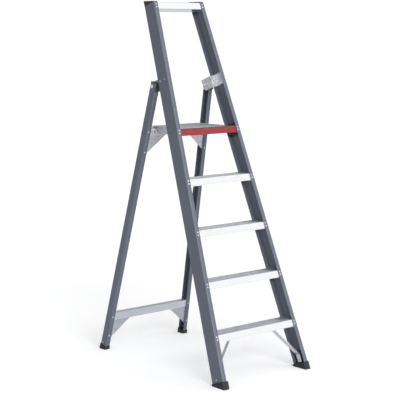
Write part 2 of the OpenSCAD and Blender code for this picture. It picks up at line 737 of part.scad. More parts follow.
// Platform: a grooved deck on two side plates, turning on pins in the bearings
side_top = deck_top - deck_t;
rib_height = 9;
rib_t = 2.4;
rib_first = 34;
rib_pitch = 46;
rib_last = 60;
deck_rivet_first = 35;
deck_rivet_pitch = 58;
deck_rivet_in = 10;
rivet_sink = 1;
module platform_deck() color(aluminium) difference() {
    in_frame() across(deck_half) difference() {
        union() {
            translate([deck_front, side_top]) square([deck_length, deck_t]);
            for (y = [deck_front + rib_first : rib_pitch : deck_front + deck_length - rib_last])
                translate([y, side_top - rib_height]) square([rib_t, rib_height + cut]);
        }
        grooves_2d(deck_front, deck_front + deck_length, deck_top);
    }
    deck_rivet_places() rivet_hole(deck_t + side_t + 2);
    // The ribs stop short of the side plates
    for (side = [-1, 1]) in_frame() on_side(side)
        translate([deck_half - side_flange - 2, 0, side_top - 20]) cube([60, big, 20]);
}

// Points along an arc, from angle a0 to a1
function arc(y, z, r, a0, a1, steps = 12) =
    [for (i = [0 : steps]) let (a = a0 + (a1 - a0) * i / steps) [y + r * cos(a), z + r * sin(a)]];
// The support pin leaves its slot along the path that the folding legs give it
fold_ratio = (90 - stile_lean) / (stile_lean + leg_lean);
slot_angle = atan2(-(pin_y - pivot_y) * fold_ratio + (pin_y - hinge_y) * -1,
    -(hinge_z - pin_z) + (pin_z - pivot_z) * fold_ratio) + slot_turn;
module side_2d() {
    low = pin_z - side_round;
    top_angle = asin((side_top - pin_z) / side_round);
    polygon(concat([[pivot_y - side_nose, side_top]], arc(pivot_y, pivot_z, side_nose, 180, 255, 6),
        [[pivot_y + 18, low]], arc(pin_y, pin_z, side_round, -90, top_angle)));
}

module platform_side(side) color(steel) difference() {
    union() {
        in_frame() on_side(side) translate([side_outer - side_t, 0, 0])
            rotate([90, 0, 90]) linear_extrude(side_t) difference() {
                side_2d();
                translate([pin_y, pin_z]) circle(slot_half, $fn = 48);
                translate([pin_y, pin_z]) rotate(slot_angle)
                    translate([0, -slot_half]) square([60, 2 * slot_half]);
            }
        in_frame() on_side(side) translate([side_outer - side_flange, deck_front + 14, side_top - side_t])
            cube([side_flange - side_t / 2, pin_y - deck_front - 16, side_t]);
    }
    in_frame() on_side(side) translate([side_outer - 30, pivot_y, pivot_z]) rotate([0, 90, 0])
        cylinder(h = 60, r = pin_r + pin_fit, $fn = 48);
    deck_rivet_places() rivet_hole(deck_t + side_t + 2);
}
module deck_rivet_places()
    in_frame() for (x = [-1, 1], k = [0, 1, 2])
        translate([x * (side_outer - deck_rivet_in), deck_front + deck_rivet_first + deck_rivet_pitch * k,
            deck_top - rivet_sink]) rotate([180, 0, 0]) children();
module platform_pivot_pins() color(steel) for (side = [-1, 1])
    in_frame() on_side(side) translate([side_outer - side_t - 4, pivot_y, pivot_z]) rotate([0, 90, 0]) {
        cylinder(h = pin_reach + side_t + 3, r = pin_r, $fn = 48);
        // Collars on both sides of the plate
        cylinder(h = 4 - seat_gap, r = collar_r, $fn = 48);
        translate([0, 0, side_t + 4 + seat_gap]) cylinder(h = 5, r = collar_r, $fn = 48);
    }
module deck_rivets() color(steel) deck_rivet_places() {
    cylinder(h = deck_t + side_t + 0.7, r = rivet_r, $fn = 32);
    translate([0, 0, deck_t + side_t - rivet_sink]) cylinder(h = tail_len, r = rivet_r + 1.2, $fn = 32);
}

stile(-1);  // stile_left
stile(1);  // stile_right
tread(0);  // tread_1
tread(1);  // tread_2
tread(2);  // tread_3
tread(3);  // tread_4
platform_front_tread();
platform_edge_cover();
top_bar();
stile_cap(-1);  // stile_cap_left
stile_cap(1);  // stile_cap_right
front_foot(-1);  // front_foot_left
front_foot(1);  // front_foot_right
tread_brace(-1);  // tread_brace_left
tread_brace(1);  // tread_brace_right
hinge_plate(-1);  // hinge_plate_left
hinge_plate(1);  // hinge_plate_right
platform_bearing(-1);  // platform_bearing_left
platform_bearing(1);  // platform_bearing_right
tread_rivets();
platform_tread_rivets();
top_bar_rivets();
hinge_plate_rivets();
front_foot_rivets();
brace_rivets();
rear_leg(-1);  // rear_leg_left
rear_leg(1);  // rear_leg_right
cross_member(lower_top, lower_flange);  // lower_cross_member
upper_cross_member();
gusset(-1, lower_top);  // lower_gusset_left
gusset(1, lower_top);  // lower_gusset_right
gusset(-1, upper_top);  // upper_gusset_left
gusset(1, upper_top);  // upper_gusset_right
leg_cap(-1);  // leg_cap_left
leg_cap(1);  // leg_cap_right
rear_foot(-1);  // rear_foot_left
rear_foot(1);  // rear_foot_right
cross_member_rivets();
rear_foot_rivets();
hinge_bolts();
hinge_spacers();
hinge_washers();
hinge_nuts();
support_brackets();
support_pins();
bracket_rivets();
platform_deck();
platform_side(-1);  // platform_side_left
platform_side(1);  // platform_side_right
platform_pivot_pins();
deck_rivets();
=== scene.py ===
import json
import math

import bmesh
import bpy
from mathutils import Matrix, Vector

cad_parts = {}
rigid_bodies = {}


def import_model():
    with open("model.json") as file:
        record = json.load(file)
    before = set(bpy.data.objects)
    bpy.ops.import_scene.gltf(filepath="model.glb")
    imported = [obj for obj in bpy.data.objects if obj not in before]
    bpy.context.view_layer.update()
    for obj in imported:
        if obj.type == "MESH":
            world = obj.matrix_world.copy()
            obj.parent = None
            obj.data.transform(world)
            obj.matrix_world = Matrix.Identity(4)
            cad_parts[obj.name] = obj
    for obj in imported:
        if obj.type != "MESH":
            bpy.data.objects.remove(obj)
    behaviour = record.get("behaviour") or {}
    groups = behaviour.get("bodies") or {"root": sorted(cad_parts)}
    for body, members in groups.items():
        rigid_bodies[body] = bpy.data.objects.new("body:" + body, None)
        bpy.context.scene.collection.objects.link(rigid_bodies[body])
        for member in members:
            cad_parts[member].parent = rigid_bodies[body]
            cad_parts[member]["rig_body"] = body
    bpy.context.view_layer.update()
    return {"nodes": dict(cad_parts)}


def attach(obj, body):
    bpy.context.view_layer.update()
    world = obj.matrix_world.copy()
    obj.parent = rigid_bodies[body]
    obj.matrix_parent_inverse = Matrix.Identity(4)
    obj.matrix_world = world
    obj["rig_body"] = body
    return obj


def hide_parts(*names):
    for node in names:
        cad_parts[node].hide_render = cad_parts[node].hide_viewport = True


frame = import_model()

nodes = frame["nodes"]
print("frame loaded:", len(nodes), "parts")


# Camera, light and floor

cameraView = {
    "place": (-3.850, -4.511, 1.634),
    "yaw": 40.415,      # degrees from +Y towards +X
    "pitch": -7.928,
    "lens": 108.45,     # millimetres on a 36 mm sensor
}
studio = {
    "ambient": 0.42,            # what the white room sends to the object
    "backdrop": 1.05,           # what the camera sees of it
    "floorSize": 120.0,
    "floorColour": (0.90, 0.90, 0.905),
    "floorMottle": 0.995,       # shade of its darker patches
    "floorRoughness": 0.8,
    "floorBounce": (0.70, 0.71, 0.73),  # what the floor sends back to the object
    "floorGlow": (0.17, 0.17, 0.17),
    # name: strength, angular size, direction to the light
    "suns": {
        "keySun": (0.58, 62, (0.62, -0.67, 0.42)),
        "frontSun": (3.10, 40, (-0.31, -0.89, 0.33)),
        "topSun": (0.60, 80, (-0.15, -0.10, 1.0)),
    },
}


def addCamera(view):
    data = bpy.data.cameras.new("camera")
    data.sensor_width = 36
    data.lens = view["lens"]
    data.clip_end = 200
    camera = bpy.data.objects.new("camera", data)
    camera.location = view["place"]
    camera.rotation_euler = (math.radians(90 + view["pitch"]), 0, -math.radians(view["yaw"]))
    bpy.context.scene.collection.objects.link(camera)
    bpy.context.scene.camera = camera


def addWorld(ambient, backdrop):
    world = bpy.data.worlds.new("whiteRoom")
    bpy.context.scene.world = world
    world.use_nodes = True
    tree = world.node_tree
    tree.nodes.clear()
    path = tree.nodes.new("ShaderNodeLightPath")
    strength = tree.nodes.new("ShaderNodeMapRange")
    strength.inputs["To Min"].default_value = ambient
    strength.inputs["To Max"].default_value = backdrop
    background = tree.nodes.new("ShaderNodeBackground")
    background.inputs["Color"].default_value = (0.985, 0.99, 1, 1)
    output = tree.nodes.new("ShaderNodeOutputWorld")
    tree.links.new(path.outputs["Is Camera Ray"], strength.inputs["Value"])
    tree.links.new(strength.outputs["Result"], background.inputs["Strength"])
    tree.links.new(background.outputs["Background"], output.inputs["Surface"])


def addSun(name, strength, size, direction):
    data = bpy.data.lights.new(name, "SUN")
    data.energy = strength
    data.angle = math.radians(size)
    sun = bpy.data.objects.new(name, data)
    sun.rotation_euler = Vector(direction).to_track_quat("Z", "Y").to_euler()
    sun.location = Vector(direction) * 5
    bpy.context.scene.collection.objects.link(sun)


addCamera(cameraView)
addWorld(studio["ambient"], studio["backdrop"])
for sunName, (strength, size, direction) in studio["suns"].items():
    addSun(sunName, strength, size, direction)
bpy.context.scene.view_settings.view_transform = "Standard"
print("camera and lights placed")


# Shader node helpers

def startGroup(name, inputs, outputs):
    group = bpy.data.node_groups.new(name, "ShaderNodeTree")
    for label, kind, value in inputs:
        socket = group.interface.new_socket(label, in_out="INPUT", socket_type=kind)
        socket.default_value = value
    for label in outputs:
        group.interface.new_socket(label, in_out="OUTPUT", socket_type="NodeSocketFloat")
    return group, group.nodes.new("NodeGroupInput"), group.nodes.new("NodeGroupOutput")


def objectPlace(tree, stretchSocket=None):
    # Object coordinates, stretched along the axes where a socket says so
    place = tree.nodes.new("ShaderNodeTexCoord").outputs["Object"]
    if stretchSocket is None:
        return place
    scaled = tree.nodes.new("ShaderNodeVectorMath")
    scaled.operation = "MULTIPLY"
    tree.links.new(place, scaled.inputs[0])
    tree.links.new(stretchSocket, scaled.inputs[1])
    return scaled.outputs["Vector"]


def remap(tree, socket, fromLow, fromHigh, low, high):
    node = tree.nodes.new("ShaderNodeMapRange")
    for label, value in zip(("From Min", "From Max", "To Min", "To Max"), (fromLow, fromHigh, low, high)):
        node.inputs[label].default_value = value
    tree.links.new(socket, node.inputs["Value"])
    return node.outputs["Result"]


def multiply(tree, first, second):
    node = tree.nodes.new("ShaderNodeMath")
    node.operation = "MULTIPLY"
    for socket, value in zip(node.inputs, (first, second)):
        if isinstance(value, (int, float)):
            socket.default_value = value
        else:
            tree.links.new(value, socket)
    return node.outputs["Value"]


def mixColours(tree, factor, first, second):
    # first and second are colours, or sockets that give one
    node = tree.nodes.new("ShaderNodeMix")
    node.data_type = "RGBA"
    tree.links.new(factor, node.inputs["Factor"])
    colourSockets = [s for s in node.inputs if s.type == "RGBA"]
    for socket, value in zip(colourSockets, (first, second)):
        if isinstance(value, tuple):
            socket.default_value = (*value, 1)
        else:
            tree.links.new(value, socket)
    return next(s for s in node.outputs if s.type == "RGBA")


def makeGrain():
    # Even noise: fine texture of paint or plastic when small, patchiness when large
    inputs = [("Size", "NodeSocketFloat", 0.001), ("Stretch", "NodeSocketVector", (1, 1, 1)),
              ("Detail", "NodeSocketFloat", 2.0)]
    group, start, end = startGroup("grain", inputs, ["Value"])
    place = objectPlace(group, start.outputs["Stretch"])
    scale = group.nodes.new("ShaderNodeMath")
    scale.operation = "DIVIDE"
    scale.inputs[0].default_value = 1.0
    group.links.new(start.outputs["Size"], scale.inputs[1])
    noise = group.nodes.new("ShaderNodeTexNoise")
    group.links.new(place, noise.inputs["Vector"])
    group.links.new(scale.outputs["Value"], noise.inputs["Scale"])
    group.links.new(start.outputs["Detail"], noise.inputs["Detail"])
    group.links.new(noise.outputs["Fac"], end.inputs["Value"])
    return group


def makeEdgeWear():
    # The edge attribute marks bevelled faces; noise breaks the rubbed line up
    inputs = [("Amount", "NodeSocketFloat", 0.5), ("Breakup", "NodeSocketFloat", 0.02)]
    group, start, end = startGroup("edgeWear", inputs, ["Mask"])
    edge = group.nodes.new("ShaderNodeAttribute")
    edge.attribute_name = "edge"
    patches = group.nodes.new("ShaderNodeGroup")
    patches.node_tree = grain
    group.links.new(start.outputs["Breakup"], patches.inputs["Size"])
    patches.inputs["Detail"].default_value = 5
    worn = remap(group, patches.outputs["Value"], 0.42, 0.62, 0.15, 1)
    mask = multiply(group, multiply(group, edge.outputs["Fac"], worn), start.outputs["Amount"])
    group.links.new(mask, end.inputs["Mask"])
    return group


def makeSpangle():
    # Zinc crystals: each cell takes its own tone
    inputs = [("Size", "NodeSocketFloat", 0.006)]
    group, start, end = startGroup("spangle", inputs, ["Tone", "Height"])
    place = objectPlace(group)
    bend = group.nodes.new("ShaderNodeTexNoise")
    bend.inputs["Scale"].default_value = 160
    shifted = group.nodes.new("ShaderNodeVectorMath")
    shifted.operation = "MULTIPLY_ADD"
    shifted.inputs[1].default_value = (0.004, 0.004, 0.004)
    group.links.new(place, bend.inputs["Vector"])
    group.links.new(bend.outputs["Color"], shifted.inputs[0])
    group.links.new(place, shifted.inputs[2])
    scale = group.nodes.new("ShaderNodeMath")
    scale.operation = "DIVIDE"
    scale.inputs[0].default_value = 1.0
    group.links.new(start.outputs["Size"], scale.inputs[1])
    crystals = group.nodes.new("ShaderNodeTexVoronoi")
    group.links.new(shifted.outputs["Vector"], crystals.inputs["Vector"])
    group.links.new(scale.outputs["Value"], crystals.inputs["Scale"])
    tone = group.nodes.new("ShaderNodeSeparateColor")
    group.links.new(crystals.outputs["Color"], tone.inputs["Color"])
    group.links.new(tone.outputs["Red"], end.inputs["Tone"])
    group.links.new(crystals.outputs["Distance"], end.inputs["Height"])
    return group


grain = makeGrain()
edgeWear = makeEdgeWear()
spangle = makeSpangle()


def placeGroup(tree, group, **values):
    node = tree.nodes.new("ShaderNodeGroup")
    node.node_tree = group
    for label, value in values.items():
        node.inputs[label].default_value = value
    return node.outputs


def startMaterial(name, colour, roughness, metallic=0.0, **sockets):
    material = bpy.data.materials.new(name)
    material.use_nodes = True
    tree = material.node_tree
    shader = tree.nodes["Principled BSDF"]
    values = {"Base Color": (*colour, 1), "Roughness": roughness, "Metallic": metallic, **sockets}
    for label, value in values.items():
        shader.inputs[label].default_value = value
    return material, tree, shader


def addBump(tree, shader, height, distance, strength=1.0):
    bump = tree.nodes.new("ShaderNodeBump")
    bump.inputs["Distance"].default_value = distance
    bump.inputs["Strength"].default_value = strength
    tree.links.new(height, bump.inputs["Height"])
    tree.links.new(bump.outputs["Normal"], shader.inputs["Normal"])


# Finishes

coat = {
    "colour": (0.122, 0.134, 0.170),
    "patchColour": (0.114, 0.125, 0.160),
    "edgeColour": (0.22, 0.24, 0.29),
    "metallic": 0.35,
    "roughness": 0.40,
    "texture": 0.0007,
    "bump": 0.00006,
    "wear": 0.5,
}


def makePowderCoat():
    # Anthracite fine-texture coat, a little lighter where edges are rubbed
    material, tree, shader = startMaterial("powderCoat", coat["colour"], coat["roughness"],
                                           coat["metallic"])
    patches = placeGroup(tree, grain, Size=0.09, Detail=4)["Value"]
    tone = mixColours(tree, remap(tree, patches, 0.35, 0.65, 0, 1), coat["colour"], coat["patchColour"])
    worn = placeGroup(tree, edgeWear, Amount=coat["wear"], Breakup=0.03)["Mask"]
    tree.links.new(mixColours(tree, worn, tone, coat["edgeColour"]), shader.inputs["Base Color"])
    fine = placeGroup(tree, grain, Size=coat["texture"], Detail=3)["Value"]
    roughness = remap(tree, fine, 0.3, 0.7, coat["roughness"] - 0.06, coat["roughness"] + 0.08)
    tree.links.new(roughness, shader.inputs["Roughness"])
    addBump(tree, shader, fine, coat["bump"])
    return material


extruded = {
    "lineStretch": (0.01, 1, 1),    # die lines run along X
    "smudgeSize": 0.06,
    "wear": 0.3,
    "edgeColour": (0.93, 0.93, 0.94),
    # colour, colour of the lines, roughness, line size, line depth
    "tread": ((0.86, 0.865, 0.88), (0.79, 0.80, 0.825), 0.28, 0.0012, 0.00002),
    "bar": ((0.88, 0.885, 0.90), (0.84, 0.845, 0.865), 0.06, 0.0009, 0.000002),
    "member": ((0.80, 0.82, 0.86), (0.72, 0.74, 0.79), 0.34, 0.0014, 0.00002),
    "deck": ((0.74, 0.76, 0.80), (0.66, 0.68, 0.72), 0.36, 0.0012, 0.00003),
}


def makeExtruded(name, colour, dark, roughness, lineSize, lineDepth):
    # Extruded aluminium: faint die lines along the section and small scuffs
    material, tree, shader = startMaterial(name, colour, roughness, metallic=1.0)
    lines = placeGroup(tree, grain, Size=lineSize, Stretch=extruded["lineStretch"], Detail=3)["Value"]
    smudges = placeGroup(tree, grain, Size=extruded["smudgeSize"], Detail=5)["Value"]
    tone = mixColours(tree, remap(tree, lines, 0.3, 0.7, 0, 1), colour, dark)
    worn = placeGroup(tree, edgeWear, Amount=extruded["wear"], Breakup=0.02)["Mask"]
    tree.links.new(mixColours(tree, worn, tone, extruded["edgeColour"]), shader.inputs["Base Color"])
    sheen = remap(tree, smudges, 0.3, 0.7, roughness - 0.04, roughness + 0.06)
    tree.links.new(sheen, shader.inputs["Roughness"])
    addBump(tree, shader, lines, lineDepth)
    return material


grip = {
    "metallic": 0.85,
    "roughness": 0.42,
    "knurlSize": 0.0011,
    "knurlStretch": (1, 0.35, 1),
    "knurlDepth": 0.0002,
    "troddenSize": 0.05,
    "troddenShade": 0.8,
    # colour, colour between the ribs; both are darker than the sides as painted shade, the colour between
    # the ribs darker still as painted shade in the grooves
    "tread": ((0.60, 0.625, 0.69), (0.53, 0.555, 0.62)),
    # the deck's top is darker and a little purple: painted shade for the shade it lies in
    "deck": ((0.36, 0.34, 0.385), (0.29, 0.275, 0.315)),
}


def makeGripWithPaintedShade(name, colour, dark):
    # The ribbed standing surface: fine cross knurl, with painted shade: darker than the sides, and darker
    # still between the ribs
    material, tree, shader = startMaterial(name, colour, grip["roughness"], metallic=grip["metallic"])
    knurl = placeGroup(tree, grain, Size=grip["knurlSize"], Stretch=grip["knurlStretch"], Detail=2)["Value"]
    trodden = placeGroup(tree, grain, Size=grip["troddenSize"], Detail=5)["Value"]
    # painted shade in the gaps between the ribs
    tone = mixColours(tree, remap(tree, knurl, 0.35, 0.65, 0, 1), dark, colour)
    shade = tuple(grip["troddenShade"] * c for c in colour)
    dull = mixColours(tree, remap(tree, trodden, 0.5, 0.75, 0, 0.35), tone, shade)
    tree.links.new(dull, shader.inputs["Base Color"])
    tree.links.new(remap(tree, trodden, 0.3, 0.7, 0.36, 0.5), shader.inputs["Roughness"])
    addBump(tree, shader, knurl, grip["knurlDepth"])
    return material


zinc = {
    "metallic": 0.9,
    "wear": 0.5,
    "cloudColour": (0.72, 0.73, 0.75),
    "edgeColour": (0.9, 0.9, 0.91),
    # colour, dark crystals, crystal size, roughness, surface relief
    "hotDip": ((0.68, 0.69, 0.72), (0.46, 0.47, 0.50), 0.0045, 0.42, 0.00012),
    "gusset": ((0.50, 0.52, 0.55), (0.44, 0.45, 0.48), 0.003, 0.5, 0.00006),
    "plated": ((0.86, 0.87, 0.89), (0.78, 0.79, 0.82), 0.0015, 0.26, 0.00003),
    "rivet": ((0.58, 0.60, 0.64), (0.48, 0.50, 0.54), 0.001, 0.34, 0.00003),
}


def makeZinc(name, colour, dark, size, roughness, relief):
    # Hot-dip zinc with its crystals, or with a tiny size bright plating
    material, tree, shader = startMaterial(name, colour, roughness, metallic=zinc["metallic"])
    crystals = placeGroup(tree, spangle, Size=size)
    clouds = placeGroup(tree, grain, Size=size * 4, Detail=5)["Value"]
    tone = mixColours(tree, remap(tree, crystals["Tone"], 0, 1, 0, 1), dark, colour)
    cloudy = mixColours(tree, remap(tree, clouds, 0.4, 0.7, 0, 0.5), tone, zinc["cloudColour"])
    worn = placeGroup(tree, edgeWear, Amount=zinc["wear"], Breakup=0.01)["Mask"]
    tree.links.new(mixColours(tree, worn, cloudy, zinc["edgeColour"]), shader.inputs["Base Color"])
    sheen = remap(tree, crystals["Tone"], 0, 1, roughness - 0.08, roughness + 0.1)
    tree.links.new(sheen, shader.inputs["Roughness"])
    addBump(tree, shader, clouds, relief)
    return material


moulded = {
    "cloudSize": 0.03,
    # colour, rubbed colour, roughness, texture size, texture depth, edge wear
    "red": ((0.200, 0.012, 0.017), (0.24, 0.030, 0.036), 0.5, 0.0008, 0.00008, 0.4),
    "plastic": ((0.014, 0.014, 0.018), (0.034, 0.034, 0.042), 0.45, 0.0009, 0.00008, 0.5),
    "rubber": ((0.011, 0.011, 0.014), (0.028, 0.028, 0.034), 0.66, 0.0012, 0.00012, 0.6),
}


def makeMoulded(name, colour, rubbed, roughness, textureSize, textureDepth, wear):
    # Moulded plastic or rubber with a spark-eroded texture and rubbed edges
    material, tree, shader = startMaterial(name, colour, roughness)
    fine = placeGroup(tree, grain, Size=textureSize, Detail=2)["Value"]
    clouds = placeGroup(tree, grain, Size=moulded["cloudSize"], Detail=5)["Value"]
    tone = mixColours(tree, remap(tree, clouds, 0.4, 0.75, 0, 0.6), colour, rubbed)
    worn = placeGroup(tree, edgeWear, Amount=wear, Breakup=0.012)["Mask"]
    tree.links.new(mixColours(tree, worn, tone, rubbed), shader.inputs["Base Color"])
    sheen = remap(tree, clouds, 0.3, 0.7, roughness - 0.07, roughness + 0.07)
    tree.links.new(sheen, shader.inputs["Roughness"])
    addBump(tree, shader, fine, textureDepth)
    return material


def makeFloorPaint():
    # Seen white by the camera, and duller in what it sends back to the ladder
    colour = studio["floorColour"]
    material, tree, shader = startMaterial("floorPaint", colour, studio["floorRoughness"])
    path = tree.nodes.new("ShaderNodeLightPath").outputs["Is Camera Ray"]
    mottle = placeGroup(tree, grain, Size=0.4, Detail=3)["Value"]
    tone = mixColours(tree, mottle, colour, tuple(studio["floorMottle"] * c for c in colour))
    tree.links.new(mixColours(tree, path, studio["floorBounce"], tone), shader.inputs["Base Color"])
    glow = mixColours(tree, path, (0.0, 0.0, 0.0), studio["floorGlow"])
    tree.links.new(glow, shader.inputs["Emission Color"])
    shader.inputs["Emission Strength"].default_value = 1.0
    return material


powderCoat = makePowderCoat()
treadAluminium = makeExtruded("treadAluminium", *extruded["tread"])
barAluminium = makeExtruded("barAluminium", *extruded["bar"])
memberAluminium = makeExtruded("memberAluminium", *extruded["member"])
deckAluminium = makeExtruded("deckAluminium", *extruded["deck"])
treadGrip = makeGripWithPaintedShade("treadGrip", *grip["tread"])
deckGrip = makeGripWithPaintedShade("deckGrip", *grip["deck"])
galvanised = makeZinc("galvanised", *zinc["hotDip"])
gussetSteel = makeZinc("gussetSteel", *zinc["gusset"])
platedSteel = makeZinc("platedSteel", *zinc["plated"])
rivetMetal = makeZinc("rivetMetal", *zinc["rivet"])
redPlastic = makeMoulded("redPlastic", *moulded["red"])
blackPlastic = makeMoulded("blackPlastic", *moulded["plastic"])
blackRubber = makeMoulded("blackRubber", *moulded["rubber"])
floorPaint = makeFloorPaint()
print("finishes made:", len(bpy.data.materials))


def addFloor():
    shape = bmesh.new()
    bmesh.ops.create_grid(shape, x_segments=2, y_segments=2, size=studio["floorSize"] / 2)
    mesh = bpy.data.meshes.new("studioFloor")
    shape.to_mesh(mesh)
    shape.free()
    mesh.materials.append(floorPaint)
    floor = bpy.data.objects.new("studioFloor", mesh)
    bpy.context.scene.collection.objects.link(floor)


addFloor()


# Mesh helpers

mergeDistance = 0.00002
flatAngle = math.radians(0.8)
facingCosine = 0.85     # a face this close to a direction looks along it
ringMatch = 0.000002    # how near a point lies to the ring it belongs to


def mergedCopy(nodeName):
    # A part's loose triangles, joined up and with flat faces made whole
    shape = bmesh.new()
    shape.from_mesh(nodes[nodeName].data)
    bmesh.ops.remove_doubles(shape, verts=shape.verts, dist=mergeDistance)
    bmesh.ops.dissolve_limit(shape, angle_limit=flatAngle, verts=shape.verts, edges=shape.edges)
    return shape


def softenEdges(shape, width, segments, sharpest=30, shortest=3.0):
    # Rounds the long sharp edges and marks the new faces for edge wear
    mark = shape.faces.layers.float.get("edge") or shape.faces.layers.float.new("edge")
    chosen = [e for e in shape.edges
              if len(e.link_faces) == 2 and e.calc_face_angle(0) > math.radians(sharpest)
              and e.calc_length() > shortest * width]
    made = bmesh.ops.bevel(shape, geom=chosen, offset=width, offset_type="OFFSET", segments=segments,
                           profile=0.5, affect="EDGES", clamp_overlap=False, material=-1)
    for face in made["faces"]:
        face[mark] = 1.0


def finishPiece(shape, name, body, slotName, materials, replaced=(), smoothUpTo=32):
    mesh = bpy.data.meshes.new(name)
    shape.to_mesh(mesh)
    shape.free()
    for material in materials:
        mesh.materials.append(material)
    for polygon in mesh.polygons:
        polygon.use_smooth = True
    mesh.set_sharp_from_angle(angle=math.radians(smoothUpTo))
    piece = bpy.data.objects.new(name, mesh)
    bpy.context.scene.collection.objects.link(piece)
    even = piece.modifiers.new("evenNormals", "WEIGHTED_NORMAL")
    even.keep_sharp = True
    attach(piece, body)
    if replaced:
        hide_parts(*replaced)


def camelName(nodeName):
    first, *rest = nodeName.split("_")
    return first + "".join(word.capitalize() for word in rest)


def insetPanel(shape, direction, margin, depth):
    # Sinks a panel into the largest face that looks along direction
    facing = [f for f in shape.faces if f.normal.dot(direction) > facingCosine]
    panel = max(facing, key=lambda f: f.calc_area())
    bmesh.ops.inset_individual(shape, faces=[panel], thickness=margin, depth=-depth, use_even_offset=True)


def soleGroove(shape, low, high, depth):
    # A groove all round the foot, just above the floor
    for height in (low, high):
        geometry = list(shape.verts) + list(shape.edges) + list(shape.faces)
        bmesh.ops.bisect_plane(shape, geom=geometry, plane_co=(0, 0, height), plane_no=(0, 0, 1))
    shape.faces.ensure_lookup_table()
    band = [f for f in shape.faces if low < f.calc_center_median().z < high and abs(f.normal.z) < 0.6]
    bmesh.ops.inset_region(shape, faces=band, thickness=depth / 2, depth=-depth, use_even_offset=True)


def turnOutline(outline, steps, hexRings):
    # Turns an outline of (radius, height) about Z; hexRings names its points that follow a hexagon
    shape = bmesh.new()
    points = [shape.verts.new((radius, 0, height)) for radius, height in outline]
    pairs = list(zip(points, points[1:]))
    if outline[0][0] > 0:
        pairs.append((points[-1], points[0]))
    lines = [shape.edges.new(pair) for pair in pairs]
    bmesh.ops.spin(shape, geom=points + lines, cent=(0, 0, 0), axis=(0, 0, 1), angle=math.tau,
                   steps=steps, use_merge=True)
    bmesh.ops.remove_doubles(shape, verts=shape.verts, dist=0.000001)
    rings = [outline[index] for index in hexRings]
    for vert in shape.verts:
        radius = math.hypot(vert.co.x, vert.co.y)
        for ringRadius, ringHeight in rings:
            if abs(radius - ringRadius) < ringMatch and abs(vert.co.z - ringHeight) < ringMatch:
                turn = math.atan2(vert.co.y, vert.co.x) % (math.pi / 3) - math.pi / 6
                factor = math.cos(math.pi / 6) / math.cos(turn)
                vert.co.x *= factor
                vert.co.y *= factor
    bmesh.ops.recalc_face_normals(shape, faces=shape.faces)
    return shape


def islandsOf(shape):
    left = set(shape.verts)
    while left:
        stack = [left.pop()]
        island = list(stack)
        while stack:
            for edge in stack.pop().link_edges:
                for vert in edge.verts:
                    if vert in left:
                        left.remove(vert)
                        stack.append(vert)
                        island.append(vert)
        yield island


def headPlacement(island, axis=None):
    # Where a turned part sits: Z from under its head along its shank, X to its widest point
    if axis is None:
        longest = max((e for v in island for e in v.link_edges), key=lambda e: e.calc_length())
        axis = (longest.verts[1].co - longest.verts[0].co).normalized()
    middle = sum((v.co for v in island), Vector()) / len(island)
    heights = [(v.co - middle).dot(axis) for v in island]
    widths = [((v.co - middle) - axis * height).length for v, height in zip(island, heights)]
    widest = max(widths)
    rim = [height for height, width in zip(heights, widths) if width > 0.97 * widest]
    rimMiddle = (max(rim) + min(rim)) / 2
    if max(heights) - rimMiddle < rimMiddle - min(heights):
        axis = -axis
        heights = [-height for height in heights]
        rim = [-height for height in rim]
    seat = max(rim)
    corner = island[widths.index(widest)].co
    across = corner - middle
    across = (across - axis * across.dot(axis)).normalized()
    up = axis.cross(across)
    turn = Matrix((across, up, axis)).transposed().to_4x4()
    return Matrix.Translation(middle + axis * seat) @ turn, max(heights) - seat, widest


def turnedGroup(nodeName, outlineFor, steps, slotName, finish, axis=None, hexRings=()):
    # One turned shape for each loose part of a CAD group
    source = mergedCopy(nodeName)
    whole = bmesh.new()
    scratch = bpy.data.meshes.new("scratch")
    for island in islandsOf(source):
        placement, length, radius = headPlacement(island, axis)
        part = turnOutline(outlineFor(length, radius), steps, hexRings)
        part.transform(placement)
        part.to_mesh(scratch)
        part.free()
        whole.from_mesh(scratch)
    source.free()
    bpy.data.meshes.remove(scratch)
    bmesh.ops.recalc_face_normals(whole, faces=whole.faces)
    body = nodes[nodeName]["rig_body"]
    finishPiece(whole, camelName(nodeName), body, slotName, [finish], [nodeName], smoothUpTo=40)


# Moulded detail of the feet
foot = {
    "panelMargin": 0.005,
    "panelDepth": 0.0009,
    "grooveLow": 0.0045,
    "grooveHigh": 0.0070,
    "grooveDepth": 0.0008,
}

# Parts that keep the frame's shape and get rounded edges
# names: finish, slot, bevel width, bevel segments
softened = {
    ("stile_left", "stile_right"): (powderCoat, "powder_coat", 0.0005, 2),
    ("rear_leg_left", "rear_leg_right"): (powderCoat, "powder_coat", 0.0005, 2),
    ("top_bar",): (barAluminium, "tread_aluminium", 0.0006, 2),
    ("lower_cross_member", "upper_cross_member"): (memberAluminium, "member_aluminium", 0.0004, 2),
    ("lower_gusset_left", "lower_gusset_right"): (gussetSteel, "galvanised_steel", 0.0004, 2),
    ("upper_gusset_left", "upper_gusset_right"): (galvanised, "galvanised_steel", 0.0004, 2),
    ("hinge_plate_left", "hinge_plate_right"): (galvanised, "galvanised_steel", 0.0005, 2),
    ("platform_side_left", "platform_side_right"): (galvanised, "galvanised_steel", 0.0004, 2),
    ("support_brackets",): (galvanised, "galvanised_steel", 0.0004, 2),
    ("tread_brace_left", "tread_brace_right"): (platedSteel, "galvanised_steel", 0.0006, 2),
    ("stile_cap_left", "stile_cap_right"): (blackPlastic, "black_plastic", 0.0012, 3),
    ("leg_cap_left", "leg_cap_right"): (blackPlastic, "black_plastic", 0.0008, 3),
    ("platform_bearing_left", "platform_bearing_right"): (blackPlastic, "black_plastic", 0.0010, 3),
    ("front_foot_left", "front_foot_right"): (blackRubber, "black_rubber", 0.0014, 3),
    ("rear_foot_left", "rear_foot_right"): (blackRubber, "black_rubber", 0.0012, 3),
    ("platform_edge_cover",): (redPlastic, "red_cover", 0.0007, 3),
}
